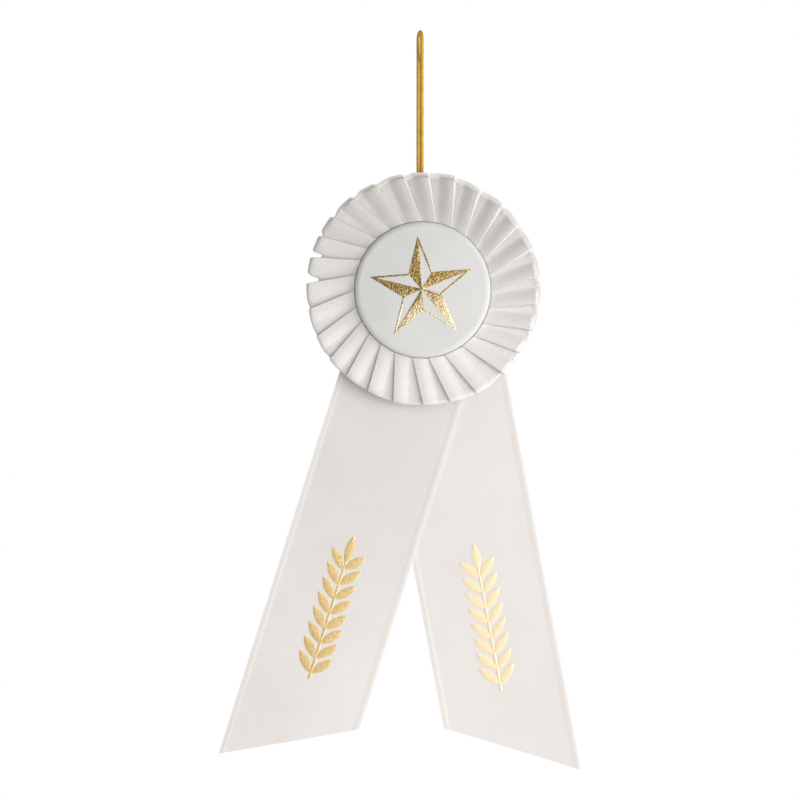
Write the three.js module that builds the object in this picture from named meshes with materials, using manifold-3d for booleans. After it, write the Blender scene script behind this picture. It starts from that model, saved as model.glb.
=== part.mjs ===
// An award ribbon: a pleated satin rosette with a covered button, two satin tails and a doubled
// gold cord to hang it by. Millimetres, +Z up. The front faces -Y, and +X is on the right as seen
// from the front. The origin is the top of the cord's loop, where a hook carries the ribbon.
import * as THREE from "three";
import { mergeVertices } from "three/addons/utils/BufferGeometryUtils.js";
import Module from "manifold-3d";

// Where the rosette's own frame sits: the centre of the backing disc's front face. The hook is
// above the centre of mass, so the disc is a little behind it.
const ROSETTE_CENTRE = new THREE.Vector3(1.0, 3.25, -103.4);

// Depths in the rosette's frame, from the disc's front face, positive towards the back.
const DISC_THICKNESS = 1.2;
const LEFT_TAIL_BACK = 2.3;
const RIGHT_TAIL_BACK = 2.8;
const PAD_FRONT = 2.9;
const CARD_FRONT = 3.6;
const CARD_THICKNESS = 0.6;

// The backing disc and the card behind it.
const DISC_RADIUS = 30;
const CARD_RADIUS = 28;
const PAD = { width: 11, height: 14, x: 15.5, z: -9 };

// The pleated ruffle: [radius, height of the valleys, height of the ridges], inside to outside.
const PLEATS = 27;
const FIRST_RIDGE_DEG = 12;
const RETURN_DEG = 1.2;
const RUFFLE_BACK = 0.2;
const RUFFLE_SECTION = [
  [17, 0.9, 1.3],
  [24, 0.9, 1.4],
  [27.4, 1.0, 2.9],
  [30, 1.0, 5.0],
  [46.5, 0.8, 9.3],
];
const THREAD = { ring: 22.5, radius: 0.3, height: 2.1 };

// The button: radius, height of its face, corner radius and height of its lower edge.
const COVER = { radius: 27.1, face: 8.2, corner: 2.8, bottom: 3.4, cloth: 0.25, tuck: 1.4 };
const SHELL = { radius: 26.6, face: 7.8, corner: 2.4, bottom: 3.9, wall: 0.35 };
const COLLET = { radius: 25.4, back: 3.6, thickness: 0.4 };
const PRONG = { x: 12.2, inside: 4.7, fold: 17, foldFront: 1.3, strip: 0.4, width: 4 };
const PRONG_SLOT = { width: 1, height: 4.8 };

// The star on the button. Half of every point is solid and the other half is only outlined.
const STAR = { tip: 21, inner: 8, lean: 4.4, outline: 0.65, web: 0.15, thickness: 0.1 };

// The tails: they cross at one point, lean out by these angles and are cut on a slant.
const TAIL_CROSSING = { x: 2.2, z: -5 };
const TAIL_WIDTH = 50.8;
const TAIL_TOP = 10;
const TAIL_CUT_DEG = 27.5;
const TAIL_CLOTH = 0.3;
const LEFT_TAIL = { side: -1, leanDeg: 17.6, length: 184.4, back: LEFT_TAIL_BACK };
const RIGHT_TAIL = { side: 1, leanDeg: 10.7, length: 181.7, back: RIGHT_TAIL_BACK };
const TAIL_HINGE_Z = -48;
const TAIL_HINGE_GAP = 0.5;

// The laurel spray printed on each tail, measured down the tail from the crossing point.
const SPRAY = {
  top: 98, bottom: 158, stem: 1.2, firstPair: 111.5, pitch: 6.2, pairs: 8,
  leafLength: 9.4, leafWidth: 3.6, leafAngle: 42, gap: 0.05, thickness: 0.1,
};

// Staples: crown length, wire, the height gripped and the length of the clinched tips.
const STAPLE = { crown: 10, wire: 0.5, grip: 3.1, tip: 2.5, hole: 1.2 };
const CORD_STAPLE_CROWN = 6;
const RUFFLE_STAPLE_RING = 20.5;
const RUFFLE_STAPLES = { ruffle_staple_upper: 60, ruffle_staple_side: 180, ruffle_staple_lower: 300 };
const RUFFLE_CROWN_FRONT = -2.3;
const TAIL_STAPLES = { tail_staple_upper: 1, tail_staple_lower: -12 };
const REAR_CROWN_BACK = 3.4;
const CORD_STAPLE_Z = 14;

// The cord, in the part's own frame. Its two strands lie side by side, and above the hinge they
// open into an eye for the hook. Both routes are [x, y, z]. The strand's is for the right one.
const CORD_DIAMETER = 1.4;
const CORD_SIDES = 8;
const STRAND_ROUTE = [
  [0.72, 5.25, -91.9],
  [0.72, 5.25, -84],
  [0.72, 5.25, -76],
  [0.72, 5.25, -67],
  [0.72, 5.05, -58],
  [0.72, 4.1, -48],
  [0.72, 2.8, -38],
  [0.72, 1.4, -28],
  [0.72, 0.35, -19.5],
  [0.72, 0.0, -14.45],
];
const EYE_ROUTE = [
  [-0.72, 0.0, -13.55],
  [-0.72, 0.45, -11.3],
  [-0.72, 1.45, -8.8],
  [-0.72, 2.5, -6.2],
  [-0.7, 2.9, -3.6],
  [-0.5, 2.05, -1.55],
  [0, 0.0, -0.7],
  [0.5, -2.05, -1.55],
  [0.7, -2.9, -3.6],
  [0.72, -2.5, -6.2],
  [0.72, -1.45, -8.8],
  [0.72, -0.45, -11.3],
  [0.72, 0.0, -13.55],
];
const STRAND_STEPS = 26;
const EYE_STEPS = 26;

const DISC_SIDES = 64;
const LATHE_SEGMENTS = 64;
const { degToRad } = THREE.MathUtils;

const wasm = await Module();
wasm.setup();

const MATERIALS = {
  satin: { color: 0xe9e6e2, roughness: 0.42, metalness: 0 },
  cloth: { color: 0xdededd, roughness: 0.8, metalness: 0 },
  foil: { color: 0xc9963a, roughness: 0.3, metalness: 1 },
  cord: { color: 0xc2912f, roughness: 0.6, metalness: 0.2 },
  card: { color: 0xefede6, roughness: 0.9, metalness: 0 },
  board: { color: 0xb9b2a4, roughness: 0.95, metalness: 0 },
  tin: { color: 0xb8babc, roughness: 0.35, metalness: 1 },
  wire: { color: 0xa9abad, roughness: 0.3, metalness: 1 },
  thread: { color: 0xf2efe9, roughness: 0.8, metalness: 0 },
  foam: { color: 0xf4f3ef, roughness: 0.95, metalness: 0 },
};

// A named mesh with a material of its own.
function piece(name, geometry, finish) {
  const mesh = new THREE.Mesh(geometry, new THREE.MeshStandardMaterial(MATERIALS[finish]));
  mesh.name = name;
  return mesh;
}

// The point of the X, Z plane at this angle, from +X towards +Z, and radius.
function polar(angleDeg, radius) {
  return new THREE.Vector2(radius, 0).rotateAround(new THREE.Vector2(), degToRad(angleDeg));
}

// A closed outline through [x, z] corners.
function outline(corners) {
  return new THREE.Shape(corners.map(([x, z]) => new THREE.Vector2(x, z)));
}

// A flat sheet: the outline lies in X and Z, and its thickness runs forward from the depth `back`.
function sheet(shape, back, thickness) {
  const geometry = new THREE.ExtrudeGeometry(shape, {
    depth: thickness, bevelEnabled: false, curveSegments: 4,
  });
  geometry.rotateX(Math.PI / 2);
  geometry.translate(0, back, 0);
  return geometry;
}

// A regular polygon that stands for a circle.
function disc(radius, sides = DISC_SIDES) {
  const corners = [];
  for (let side = 0; side < sides; side += 1) {
    corners.push(polar((side * 360) / sides, radius));
  }
  return new THREE.Shape(corners);
}

function toManifold(geometry) {
  const bare = geometry.clone();
  bare.deleteAttribute("normal");
  bare.deleteAttribute("uv");
  const merged = mergeVertices(bare);
  return new wasm.Manifold(new wasm.Mesh({
    numProp: 3,
    vertProperties: merged.getAttribute("position").array,
    triVerts: new Uint32Array(merged.index.array),
  }));
}

function fromManifold(solid) {
  const mesh = solid.getMesh();
  const geometry = new THREE.BufferGeometry();
  geometry.setAttribute("position", new THREE.BufferAttribute(mesh.vertProperties, 3));
  geometry.setIndex(new THREE.BufferAttribute(mesh.triVerts, 1));
  geometry.computeVertexNormals();
  return geometry;
}

// Cuts a rectangular hole right through for each { x, z, width, height }.
function punched(geometry, holes) {
  const depth = 40;
  let solid = toManifold(geometry);
  for (const { x, z, width, height } of holes) {
    const punch = new THREE.BoxGeometry(width, depth, height);
    punch.translate(x, 0, z);
    solid = solid.subtract(toManifold(punch));
  }
  return fromManifold(solid);
}

// The centres of a staple's two legs, for a crown centred on x, z and turned from +X towards +Z.
function legCentres(x, z, crown, turnDeg) {
  const reach = (crown - STAPLE.wire) / 2;
  const turn = degToRad(turnDeg);
  return [-1, 1].map((end) => [x + end * reach * Math.cos(turn), z + end * reach * Math.sin(turn)]);
}

function ringStaple(angleDeg) {
  const angle = degToRad(angleDeg);
  const x = RUFFLE_STAPLE_RING * Math.cos(angle);
  const z = RUFFLE_STAPLE_RING * Math.sin(angle);
  return { x, z, turnDeg: angleDeg + 90 };
}

function ruffleStapleLegs() {
  return Object.values(RUFFLE_STAPLES).flatMap((angleDeg) => {
    const { x, z, turnDeg } = ringStaple(angleDeg);
    return legCentres(x, z, STAPLE.crown, turnDeg);
  });
}

function tailStapleLegs() {
  return Object.values(TAIL_STAPLES).flatMap((z) => legCentres(TAIL_CROSSING.x, z, STAPLE.crown, 0));
}

function prongSlots() {
  return [-1, 1].map((side) => ({ x: side * PRONG.x, z: 0, ...PRONG_SLOT }));
}

function stapleHoles(legs) {
  return legs.map(([x, z]) => ({ x, z, width: STAPLE.hole, height: STAPLE.hole }));
}

// A closed staple: its crown's outer face is at depth 0 and its clinched tips point inwards.
function stapleGeometry(crown) {
  const { wire, grip, tip } = STAPLE;
  const half = crown / 2;
  const end = grip + 2 * wire;
  const right = [[half, 0], [half, end], [half - tip, end], [half - tip, grip + wire],
    [half - wire, grip + wire], [half - wire, wire]];
  const left = right.map(([x, y]) => [-x, y]).reverse();
  const geometry = new THREE.ExtrudeGeometry(outline([...right, ...left]), {
    depth: wire, bevelEnabled: false,
  });
  geometry.translate(0, 0, -wire / 2);
  return geometry;
}

// A staple whose crown faces the front, or the back when `fromBack` is true.
function staple(name, crown, x, depth, z, turnDeg, fromBack) {
  const geometry = stapleGeometry(crown);
  if (fromBack) {
    geometry.rotateX(Math.PI);
  }
  const mesh = piece(name, geometry, "wire");
  mesh.position.set(x, depth, z);
  mesh.rotation.y = -degToRad(turnDeg);
  return mesh;
}

function backingDisc() {
  const cordLegs = legCentres(-ROSETTE_CENTRE.x, CORD_STAPLE_Z, CORD_STAPLE_CROWN, 0);
  const legs = [...ruffleStapleLegs(), ...tailStapleLegs(), ...cordLegs];
  const board = sheet(disc(DISC_RADIUS), DISC_THICKNESS, DISC_THICKNESS);
  return piece("backing_disc", punched(board, [...stapleHoles(legs), ...prongSlots()]), "board");
}

function eventCard() {
  return piece("event_card", sheet(disc(CARD_RADIUS), CARD_FRONT + CARD_THICKNESS, CARD_THICKNESS), "card");
}

function cardPad(name, side) {
  const { width, height, x, z } = PAD;
  const thickness = CARD_FRONT - PAD_FRONT - 0.1;
  const mesh = piece(name, new THREE.BoxGeometry(width, thickness, height), "foam");
  mesh.position.set(side * x, PAD_FRONT + thickness / 2, z);
  return mesh;
}

// One cut through the ruffle at a radius line: the front from inside to outside, then the back.
function ruffleColumn(angleDeg, onRidge) {
  const angle = degToRad(angleDeg);
  const front = RUFFLE_SECTION.map(([radius, valley, ridge]) => [radius, onRidge ? ridge : valley]);
  const section = [...front, [front.at(-1)[0], 0], [front[0][0], 0]];
  return section.flatMap(([radius, height]) =>
    [radius * Math.cos(angle), -RUFFLE_BACK - height, radius * Math.sin(angle)]);
}

// The ruffle as one solid: a saw-tooth front, each pleat high at its clockwise end, on a flat back.
function ruffleSolid() {
  const pitch = 360 / PLEATS;
  const positions = [];
  for (let pleat = 0; pleat < PLEATS; pleat += 1) {
    const ridge = FIRST_RIDGE_DEG + pleat * pitch;
    positions.push(...ruffleColumn(ridge, true), ...ruffleColumn(ridge + pitch - RETURN_DEG, false));
  }
  const rows = RUFFLE_SECTION.length + 2;
  const columns = 2 * PLEATS;
  const index = [];
  for (let column = 0; column < columns; column += 1) {
    const next = (column + 1) % columns;
    for (let row = 0; row < rows; row += 1) {
      const above = (row + 1) % rows;
      const [a, b] = [column * rows + row, column * rows + above];
      const [c, d] = [next * rows + above, next * rows + row];
      index.push(a, b, c, a, c, d);
    }
  }
  const geometry = new THREE.BufferGeometry();
  geometry.setAttribute("position", new THREE.Float32BufferAttribute(positions, 3));
  geometry.setIndex(index);
  return geometry;
}

function pleatedRuffle() {
  const holes = stapleHoles(ruffleStapleLegs());
  return piece("pleated_ruffle", punched(ruffleSolid(), holes), "satin");
}

function gatheringThread() {
  const geometry = new THREE.TorusGeometry(THREAD.ring, THREAD.radius, 6, 72);
  geometry.rotateX(Math.PI / 2);
  geometry.translate(0, -THREAD.height, 0);
  return piece("gathering_thread", geometry, "thread");
}

// Half the section of a cap with a flat face and a rounded corner, from its lower edge to the axis.
function capSection(radius, face, corner, bottom) {
  const arcSteps = 6;
  const points = [new THREE.Vector2(radius, -bottom)];
  for (let step = 0; step <= arcSteps; step += 1) {
    const angle = (step / arcSteps) * (Math.PI / 2);
    const r = radius - corner + corner * Math.cos(angle);
    const h = face - corner + corner * Math.sin(angle);
    points.push(new THREE.Vector2(r, -h));
  }
  points.push(new THREE.Vector2(0, -face));
  return points;
}

function buttonShell() {
  const { radius, face, corner, bottom, wall } = SHELL;
  const outer = capSection(radius, face, corner, bottom);
  const inner = capSection(radius - wall, face - wall, corner - wall, bottom).reverse();
  const section = [...inner, ...outer].reverse();
  return piece("button_shell", new THREE.LatheGeometry(section, LATHE_SEGMENTS), "tin");
}

// The cloth goes over the shell, round its lower edge and up inside it.
function buttonCover() {
  const { radius, face, corner, bottom, cloth, tuck } = COVER;
  const outer = capSection(radius, face, corner, bottom);
  const inner = capSection(radius - cloth, face - cloth, corner - cloth, bottom + cloth).reverse();
  const tuckOuter = SHELL.radius - SHELL.wall - cloth;
  const tuckInner = tuckOuter - cloth;
  const tucked = [[tuckOuter, bottom + cloth], [tuckOuter, bottom + tuck], [tuckInner, bottom + tuck],
    [tuckInner, bottom]].map(([r, h]) => new THREE.Vector2(r, -h));
  const section = [...inner, ...tucked, ...outer].reverse();
  return piece("button_cover", new THREE.LatheGeometry(section, LATHE_SEGMENTS), "cloth");
}

function buttonCollet() {
  const plate = sheet(disc(COLLET.radius), -COLLET.back, COLLET.thickness);
  return piece("button_collet", punched(plate, prongSlots()), "tin");
}

// A strip across the inside of the button, whose ends go through the disc and fold outwards.
function prongClip() {
  const { x, inside, fold, foldFront, strip, width } = PRONG;
  const [near, far] = [x - strip / 2, x + strip / 2];
  const right = [[far, -inside], [far, foldFront], [fold, foldFront], [fold, foldFront + strip],
    [near, foldFront + strip], [near, -inside + strip]];
  const left = right.map(([u, v]) => [-u, v]).reverse();
  const geometry = new THREE.ExtrudeGeometry(outline([...right, ...left]), {
    depth: width, bevelEnabled: false,
  });
  geometry.translate(0, 0, -width / 2);
  return piece("prong_clip", geometry, "tin");
}

// The corner where two sides of a triangle meet after each has moved inwards by its own inset.
function insetCorner(corner, towardsA, insetA, towardsB, insetB) {
  const a = towardsA.clone().sub(corner).normalize();
  const b = towardsB.clone().sub(corner).normalize();
  const sine = Math.abs(a.cross(b));
  return corner.clone().addScaledVector(a, insetB / sine).addScaledVector(b, insetA / sine);
}

// The open half of one star point, inside its outline.
function starOpening(tipDeg) {
  const { tip, inner, outline: line, web } = STAR;
  const centre = new THREE.Vector2();
  const outer = polar(tipDeg, tip);
  const notch = polar(tipDeg - 36, inner);
  return new THREE.Path([
    insetCorner(centre, notch, web, outer, web),
    insetCorner(notch, outer, line, centre, web),
    insetCorner(outer, centre, web, notch, line),
  ]);
}

function starFoil() {
  const { tip, inner, lean, thickness } = STAR;
  const corners = [];
  const openings = [];
  for (let point = 0; point < 5; point += 1) {
    const tipDeg = 90 + lean + point * 72;
    corners.push(polar(tipDeg, tip), polar(tipDeg + 36, inner));
    openings.push(starOpening(tipDeg));
  }
  const shape = new THREE.Shape(corners);
  shape.holes.push(...openings);
  return piece("star_foil", sheet(shape, -COVER.face - 0.05, thickness), "foil");
}

// The height, in a tail's own frame, of the level hinge line at x across the tail.
function hingeLine(tail, x, shift) {
  const lean = degToRad(tail.side * tail.leanDeg);
  return (TAIL_HINGE_Z + shift - TAIL_CROSSING.z - x * Math.sin(lean)) / Math.cos(lean);
}

// The stapled upper end of a tail, down to the hinge line.
function tailRoot(name, tail) {
  const half = TAIL_WIDTH / 2;
  const gap = TAIL_HINGE_GAP / 2;
  const shape = outline([[half, TAIL_TOP], [-half, TAIL_TOP],
    [-half, hingeLine(tail, -half, gap)], [half, hingeLine(tail, half, gap)]]);
  const lean = degToRad(tail.side * tail.leanDeg);
  const legs = tailStapleLegs().map(([x, z]) => {
    const leg = new THREE.Vector2(x - TAIL_CROSSING.x, z - TAIL_CROSSING.z);
    return leg.rotateAround(new THREE.Vector2(), -lean).toArray();
  });
  const cloth = sheet(shape, tail.back, TAIL_CLOTH);
  return piece(name, punched(cloth, stapleHoles(legs)), "satin");
}

// The hanging part of a tail, cut so that its outer edge is the longer one.
function tailHanging(name, tail) {
  const half = TAIL_WIDTH / 2;
  const gap = TAIL_HINGE_GAP / 2;
  const slant = half * Math.tan(degToRad(TAIL_CUT_DEG));
  const bottom = (x) => -tail.length - tail.side * Math.sign(x) * slant;
  const shape = outline([[-half, hingeLine(tail, -half, -gap)], [-half, bottom(-half)],
    [half, bottom(half)], [half, hingeLine(tail, half, -gap)]]);
  return piece(name, sheet(shape, tail.back, TAIL_CLOTH), "satin");
}

// One leaf of the spray: from the stem's edge out to its tip and back, `side` being -1 or 1.
function addLeaf(shape, side, base, upwards) {
  const { stem, leafLength, leafWidth, leafAngle } = SPRAY;
  const angle = degToRad(leafAngle);
  const along = new THREE.Vector2(side * Math.sin(angle), Math.cos(angle));
  const across = new THREE.Vector2(side * Math.cos(angle), -Math.sin(angle));
  const root = new THREE.Vector2((side * stem) / 2, -base);
  const place = (out, aside) => root.clone().addScaledVector(along, out).addScaledVector(across, aside);
  const tip = place(leafLength, 0);
  const turn = upwards ? 1 : -1;
  const first = place(leafLength * 0.45, turn * leafWidth);
  const second = place(leafLength * 0.45, -turn * leafWidth);
  shape.lineTo(root.x, root.y - turn * 0.7);
  shape.quadraticCurveTo(first.x, first.y, tip.x, tip.y);
  shape.quadraticCurveTo(second.x, second.y, root.x, root.y + turn * 0.7);
}

// A laurel spray: a stem with paired leaves and one leaf at its tip.
function laurelSpray(name, tail) {
  const { top, bottom, stem, firstPair, pitch, pairs, leafWidth } = SPRAY;
  const shape = new THREE.Shape();
  const tipBase = firstPair - pitch / 2;
  shape.moveTo(-stem / 2, -bottom);
  shape.lineTo(stem / 2, -bottom);
  for (let pair = pairs - 1; pair >= 0; pair -= 1) {
    addLeaf(shape, 1, firstPair + pair * pitch, true);
  }
  shape.lineTo(stem / 2, -tipBase);
  shape.quadraticCurveTo(leafWidth * 0.9, -(top + tipBase) / 2, 0, -top);
  shape.quadraticCurveTo(-leafWidth * 0.9, -(top + tipBase) / 2, -stem / 2, -tipBase);
  for (let pair = 0; pair < pairs; pair += 1) {
    addLeaf(shape, -1, firstPair + pair * pitch, false);
  }
  return piece(name, sheet(shape, tail.back - TAIL_CLOTH - SPRAY.gap, SPRAY.thickness), "foil");
}

function tailGroup(name, tail) {
  const group = new THREE.Group();
  group.position.set(TAIL_CROSSING.x, 0, TAIL_CROSSING.z);
  group.rotation.y = -degToRad(tail.side * tail.leanDeg);
  group.add(tailRoot(`${name}_root`, tail), tailHanging(name, tail), laurelSpray(`${name}_spray`, tail));
  return group;
}

// A tube of the cord along a route, with flat ends.
function cordPiece(name, route, steps) {
  const path = new THREE.CatmullRomCurve3(route.map((place) => new THREE.Vector3(...place)));
  const geometry = new THREE.ExtrudeGeometry(disc(CORD_DIAMETER / 2, CORD_SIDES), {
    steps, extrudePath: path,
  });
  return piece(name, geometry, "cord");
}

function hangingCord() {
  const leftRoute = STRAND_ROUTE.map(([x, y, z]) => [-x, y, z]);
  return [
    cordPiece("cord_loop", EYE_ROUTE, EYE_STEPS),
    cordPiece("cord_strand_left", leftRoute, STRAND_STEPS),
    cordPiece("cord_strand_right", STRAND_ROUTE, STRAND_STEPS),
  ];
}

function staples() {
  const ring = Object.entries(RUFFLE_STAPLES).map(([name, angleDeg]) => {
    const { x, z, turnDeg } = ringStaple(angleDeg);
    return staple(name, STAPLE.crown, x, RUFFLE_CROWN_FRONT, z, turnDeg, false);
  });
  const tails = Object.entries(TAIL_STAPLES).map(([name, z]) =>
    staple(name, STAPLE.crown, TAIL_CROSSING.x, REAR_CROWN_BACK, z, 0, true));
  const cord = staple("cord_staple", CORD_STAPLE_CROWN, -ROSETTE_CENTRE.x, REAR_CROWN_BACK,
    CORD_STAPLE_Z, 0, true);
  return [...ring, ...tails, cord];
}

function rosette() {
  const group = new THREE.Group();
  group.position.copy(ROSETTE_CENTRE);
  group.add(backingDisc(), pleatedRuffle(), gatheringThread());
  group.add(buttonShell(), buttonCover(), buttonCollet(), prongClip(), starFoil());
  group.add(eventCard(), cardPad("card_pad_left", -1), cardPad("card_pad_right", 1));
  group.add(tailGroup("left_tail", LEFT_TAIL), tailGroup("right_tail", RIGHT_TAIL));
  group.add(...staples());
  return group;
}

const awardRibbon = new THREE.Group();
awardRibbon.add(rosette(), ...hangingCord());

export default awardRibbon;
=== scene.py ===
"""The looks of an award ribbon: a pleated satin rosette, satin tails, gold foil and a gold cord.
In metres, in the CAD frame: +Z up, the front faces -Y, and the origin is the cord loop's top."""

import math
import random

import bmesh
import bpy
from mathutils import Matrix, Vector


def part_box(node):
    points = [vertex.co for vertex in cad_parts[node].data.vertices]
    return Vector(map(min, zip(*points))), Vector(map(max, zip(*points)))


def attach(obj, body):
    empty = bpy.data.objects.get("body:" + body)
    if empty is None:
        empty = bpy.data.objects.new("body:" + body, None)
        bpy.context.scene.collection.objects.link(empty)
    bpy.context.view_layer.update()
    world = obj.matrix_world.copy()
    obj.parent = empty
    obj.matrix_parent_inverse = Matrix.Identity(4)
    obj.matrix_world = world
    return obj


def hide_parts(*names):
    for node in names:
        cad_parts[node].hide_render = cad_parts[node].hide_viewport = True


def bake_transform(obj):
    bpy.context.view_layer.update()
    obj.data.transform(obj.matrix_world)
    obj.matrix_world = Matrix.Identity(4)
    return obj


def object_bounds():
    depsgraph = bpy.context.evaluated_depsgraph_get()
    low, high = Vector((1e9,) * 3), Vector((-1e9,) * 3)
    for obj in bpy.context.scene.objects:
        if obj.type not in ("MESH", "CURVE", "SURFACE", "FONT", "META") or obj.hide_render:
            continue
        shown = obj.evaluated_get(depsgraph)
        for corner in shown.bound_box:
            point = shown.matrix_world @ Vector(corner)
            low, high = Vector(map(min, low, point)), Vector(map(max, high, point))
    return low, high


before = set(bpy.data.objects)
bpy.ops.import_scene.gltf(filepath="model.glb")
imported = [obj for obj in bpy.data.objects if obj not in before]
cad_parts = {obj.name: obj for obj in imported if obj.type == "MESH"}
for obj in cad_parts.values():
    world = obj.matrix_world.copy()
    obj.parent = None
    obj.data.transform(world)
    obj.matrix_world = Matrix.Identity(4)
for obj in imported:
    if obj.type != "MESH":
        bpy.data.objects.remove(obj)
cad_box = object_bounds()

# Sizes below are in millimetres and turn into metres when multiplied by this.
MM = 0.001


def centre_of(node):
    low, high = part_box(node)
    return (Vector(low) + Vector(high)) / 2


# The rosette's own frame: X and Z from the disc's centre, Y from the disc's front face.
DISC = centre_of("backing_disc")
ROSETTE = Vector((DISC.x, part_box("backing_disc")[0][1], DISC.z))

# The cord, as in the CAD part: the route of the right strand, and of the eye above the hinge.
CORD_DIAMETER = 1.4 * MM
STRAND_ROUTE = [
    (0.72, 5.25, -91.9),
    (0.72, 5.25, -84),
    (0.72, 5.25, -76),
    (0.72, 5.25, -67),
    (0.72, 5.05, -58),
    (0.72, 4.1, -48),
    (0.72, 2.8, -38),
    (0.72, 1.4, -28),
    (0.72, 0.35, -19.5),
    (0.72, 0.0, -14.45),
]
EYE_ROUTE = [
    (-0.72, 0.45, -11.3),
    (-0.72, 1.45, -8.8),
    (-0.72, 2.5, -6.2),
    (-0.7, 2.9, -3.6),
    (-0.5, 2.05, -1.55),
    (0, 0.0, -0.7),
    (0.5, -2.05, -1.55),
    (0.7, -2.9, -3.6),
    (0.72, -2.5, -6.2),
    (0.72, -1.45, -8.8),
    (0.72, -0.45, -11.3),
]

# The camera: square on to the front, far enough to flatten the view.
LENS = 120
SENSOR = 36
VIEW_WIDTH = 320 * MM
VIEW_CENTRE = (-8.0 * MM, -147.2 * MM)
OBJECT_PLANE = 5.0 * MM


def add_camera():
    data = bpy.data.cameras.new("camera")
    data.lens = LENS
    data.sensor_width = SENSOR
    camera = bpy.data.objects.new("camera", data)
    bpy.context.scene.collection.objects.link(camera)
    distance = VIEW_WIDTH * LENS / SENSOR
    camera.location = (VIEW_CENTRE[0], OBJECT_PLANE - distance, VIEW_CENTRE[1])
    camera.rotation_euler = (math.pi / 2, 0, 0)
    bpy.context.scene.camera = camera


# -------- mesh helpers


def new_piece(name, vertices, faces, uvs=None, smooth=True):
    """A mesh object in the CAD frame. uvs holds one (u, v) per vertex."""
    mesh = bpy.data.meshes.new(name)
    mesh.from_pydata([tuple(v) for v in vertices], [], faces)
    if uvs is not None:
        layer = mesh.uv_layers.new(name="UVMap")
        for loop in mesh.loops:
            layer.data[loop.index].uv = uvs[loop.vertex_index]
    mesh.polygons.foreach_set("use_smooth", [smooth] * len(mesh.polygons))
    mesh.update()
    piece = bpy.data.objects.new(name, mesh)
    bpy.context.scene.collection.objects.link(piece)
    return piece


def apply_modifiers(piece):
    """Bakes the piece's modifiers into its mesh."""
    depsgraph = bpy.context.evaluated_depsgraph_get()
    mesh = bpy.data.meshes.new_from_object(piece.evaluated_get(depsgraph))
    piece.modifiers.clear()
    piece.data = mesh


# Edges that turn more than this stay crisp after a sheet is thickened.
SHARP_TURN = math.radians(55)


def thicken(piece, thickness, offset=0.0):
    solid = piece.modifiers.new("thickness", "SOLIDIFY")
    solid.thickness = thickness
    solid.offset = offset
    apply_modifiers(piece)
    piece.data.set_sharp_from_angle(angle=SHARP_TURN)


def grid_faces(columns, rows, closed=False):
    """Quads of a grid whose vertices run row by row down each column."""
    faces = []
    last = columns if closed else columns - 1
    for column in range(last):
        following = (column + 1) % columns
        for row in range(rows - 1):
            a = column * rows + row
            b = following * rows + row
            faces.append((a, b, b + 1, a + 1))
    return faces


def curved(points, steps_between):
    """Points on a Catmull-Rom curve through the given ones, without the last of them.
    steps_between(a, b) says how many steps to take from point a to point b."""
    padded = [points[0] * 2 - points[1], *points, points[-1] * 2 - points[-2]]
    dense = []
    for p0, p1, p2, p3 in zip(padded, padded[1:], padded[2:], padded[3:]):
        steps = steps_between(p1, p2)
        for k in range(steps):
            t = k / steps
            linear = (p2 - p0) * t
            square = (p0 * 2 - p1 * 5 + p2 * 4 - p3) * t**2
            cube = (p1 * 3 - p0 - p2 * 3 + p3) * t**3
            dense.append((p1 * 2 + linear + square + cube) * 0.5)
    return dense


# -------- shader helpers


class Nodes:
    """A material under construction: short calls that add nodes and join them."""

    def __init__(self, name):
        self.material = bpy.data.materials.new(name)
        self.material.use_nodes = True
        self.tree = self.material.node_tree
        self.shader = self.tree.nodes["Principled BSDF"]

    def add(self, kind, settings=None, **inputs):
        node = self.tree.nodes.new(kind)
        for key, value in (settings or {}).items():
            setattr(node, key, value)
        for key, value in inputs.items():
            self.put(node.inputs[key.replace("_", " ")], value)
        return node

    def put(self, socket, value):
        if isinstance(value, bpy.types.NodeSocket):
            self.tree.links.new(value, socket)
        else:
            socket.default_value = value

    def maths(self, operation, a, b=0.0, clamp=False):
        node = self.tree.nodes.new("ShaderNodeMath")
        node.operation = operation
        node.use_clamp = clamp
        self.put(node.inputs[0], a)
        self.put(node.inputs[1], b)
        return node.outputs[0]

    def weighted(self, parts):
        """The sum of (value, weight) parts."""
        total = 0.0
        for value, weight in parts:
            total = self.maths("ADD", total, self.maths("MULTIPLY", value, weight))
        return total

    def ramp(self, value, stops):
        """A colour ramp: stops are (position, colour or grey)."""
        node = self.tree.nodes.new("ShaderNodeValToRGB")
        elements = node.color_ramp.elements
        while len(elements) < len(stops):
            elements.new(0.5)
        for element, (position, colour) in zip(elements, stops):
            element.position = position
            if not isinstance(colour, tuple):
                colour = (colour, colour, colour)
            element.color = (*colour, 1)
        self.put(node.inputs[0], value)
        return node.outputs[0]

    def mix(self, factor, a, b, blend="MIX"):
        node = self.tree.nodes.new("ShaderNodeMix")
        node.data_type = "RGBA"
        node.blend_type = blend
        self.put(node.inputs["Factor"], factor)
        for socket, value in ((node.inputs[6], a), (node.inputs[7], b)):
            if isinstance(value, tuple):
                value = (*value, 1)
            self.put(socket, value)
        return node.outputs[2]

    def noise(self, vector, scale, detail=3.0, roughness=0.5):
        node = self.add(
            "ShaderNodeTexNoise", Scale=scale, Detail=detail, Roughness=roughness
        )
        self.put(node.inputs["Vector"], vector)
        return node.outputs["Fac"]

    def stretched(self, vector, scale):
        """The vector scaled by (x, y, z)."""
        node = self.add("ShaderNodeMapping")
        node.inputs["Scale"].default_value = scale
        self.put(node.inputs["Vector"], vector)
        return node.outputs["Vector"]

    def bump(self, height, distance, strength):
        node = self.add("ShaderNodeBump", Height=height, Strength=strength, Distance=distance)
        return node.outputs["Normal"]

    def finish(self, **sockets):
        for key, value in sockets.items():
            self.put(self.shader.inputs[key.replace("_", " ")], value)
        return self.material


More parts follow.
